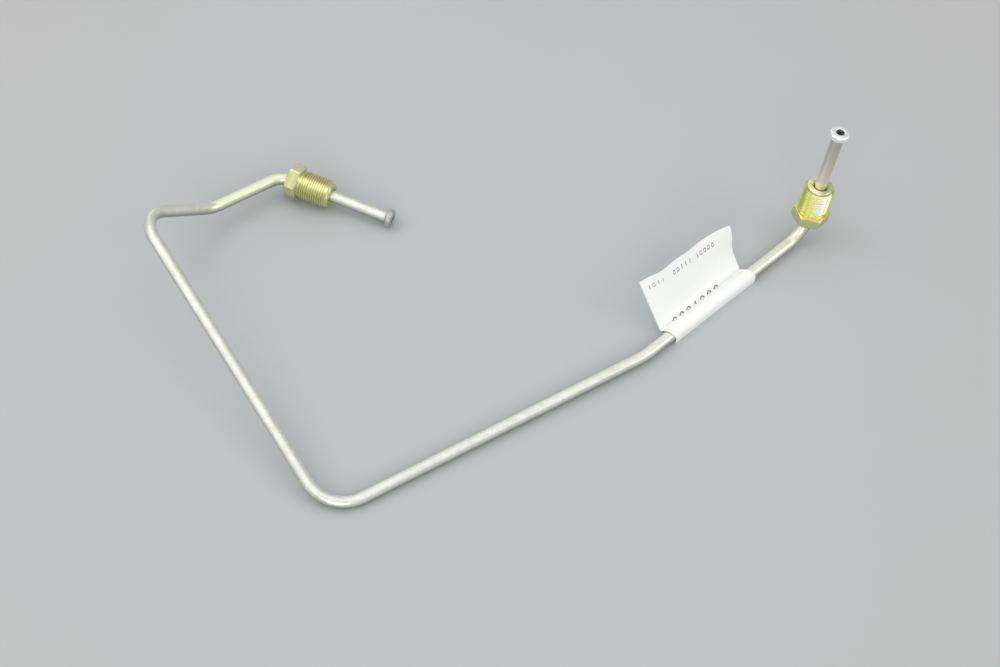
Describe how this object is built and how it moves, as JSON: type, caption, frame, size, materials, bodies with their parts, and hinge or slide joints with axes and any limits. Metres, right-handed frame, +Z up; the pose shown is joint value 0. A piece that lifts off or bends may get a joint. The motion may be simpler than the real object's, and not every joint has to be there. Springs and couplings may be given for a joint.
{
  "type": "bent tube assembly",
  "caption": "Bent steel hydraulic pipe with flared ends, a captive tube nut behind each flare that slides along its straight end, and a paper label folded round the pipe.",
  "frame": {"origin": "middle of the part's box in plan, on the floor that it lies on", "axes": "+X along the longest extent, towards the upright end; +Y from the lowest bend towards the two ends; +Z up from the floor"},
  "size_m": [0.2708, 0.154, 0.0602],
  "materials": {
    "plated_pipe": "satin zinc plating, warm grey",
    "yellow_plate": "yellow passivated zinc plating, semi gloss",
    "label_paper": "smooth white label paper"
  },
  "bodies": {
    "pipe": {"bent_tube": "plated_pipe", "folded_label": "label_paper"},
    "flat_nut": {"flat_end_nut": "yellow_plate"},
    "upright_nut": {"upright_end_nut": "yellow_plate"}
  },
  "joints": [
    {"name": "flat_nut_slide", "type": "slide", "parent": "pipe", "child": "flat_nut", "axis": [0.9226, -0.3746, -0.0918], "range_m": [0, 0.0245]},
    {"name": "upright_nut_slide", "type": "slide", "parent": "pipe", "child": "upright_nut", "axis": [0.1142, 0.0938, 0.989], "range_m": [0, 0.0268]}
  ]
}
